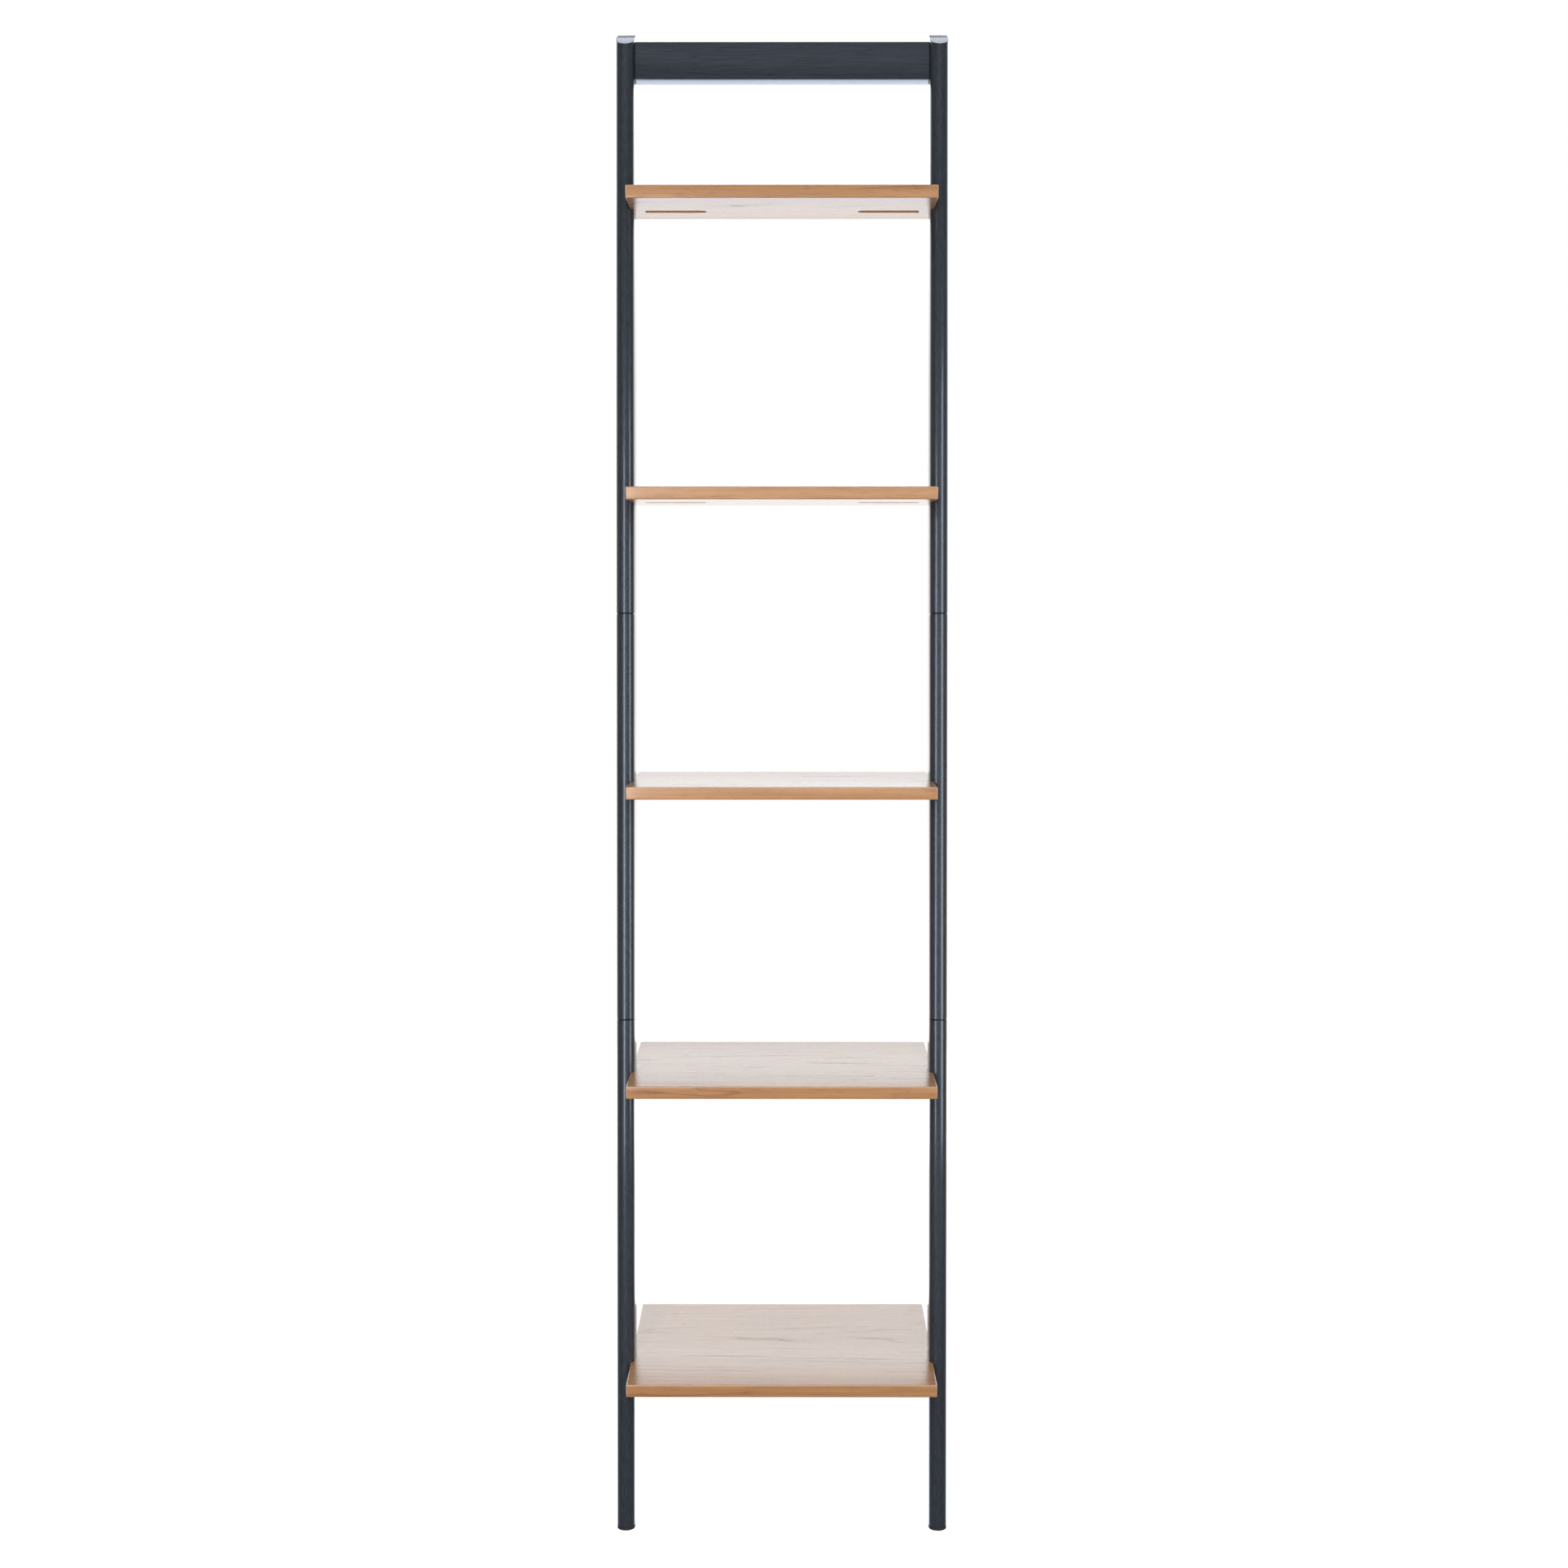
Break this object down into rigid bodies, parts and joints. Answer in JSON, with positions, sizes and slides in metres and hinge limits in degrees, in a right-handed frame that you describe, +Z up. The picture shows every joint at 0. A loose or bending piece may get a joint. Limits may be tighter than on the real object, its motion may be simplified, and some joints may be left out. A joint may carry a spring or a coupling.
{
  "type": "ladder shelf",
  "caption": "Leaning ladder shelf with raked round-nosed posts in butted sections, a top rail and shelves that deepen towards the floor.",
  "frame": {"origin": "on the floor, half way across the posts and half way between the bottom shelf's front edge and the wall plane", "axes": "+Z up, -Y towards the person who uses it, +Y into the wall, X across the shelf"},
  "size_m": [0.4, 0.3, 1.8],
  "materials": {
    "charcoal_wood": "charcoal stain under satin lacquer",
    "shelf_veneer": "satin lacquered oak veneer",
    "pad_rubber": "matte",
    "zinc_steel": "zinc plated",
    "insert_brass": "turned",
    "dowel_beech": "bare beech"
  },
  "bodies": {
    "root": {"post_left_lower": "charcoal_wood", "post_left_middle": "charcoal_wood", "post_left_upper": "charcoal_wood", "post_right_lower": "charcoal_wood", "post_right_middle": "charcoal_wood", "post_right_upper": "charcoal_wood", "top_rail": "charcoal_wood", "shelf_bottom": "shelf_veneer", "shelf_lower": "shelf_veneer", "shelf_middle": "shelf_veneer", "shelf_upper": "shelf_veneer", "shelf_top": "shelf_veneer", "foot_pad_left": "pad_rubber", "foot_pad_right": "pad_rubber", "tenon_left_lower": "zinc_steel", "tenon_left_upper": "zinc_steel", "tenon_right_lower": "zinc_steel", "tenon_right_upper": "zinc_steel", "tenon_screws": "zinc_steel", "shelf_bolts": "zinc_steel", "shelf_washers": "zinc_steel", "shelf_inserts": "insert_brass", "rail_bolts": "zinc_steel", "rail_washers": "zinc_steel", "rail_inserts": "insert_brass", "rail_dowels": "dowel_beech", "wall_bracket_left": "zinc_steel", "wall_bracket_right": "zinc_steel", "bracket_screws": "zinc_steel"}
  },
  "joints": []
}
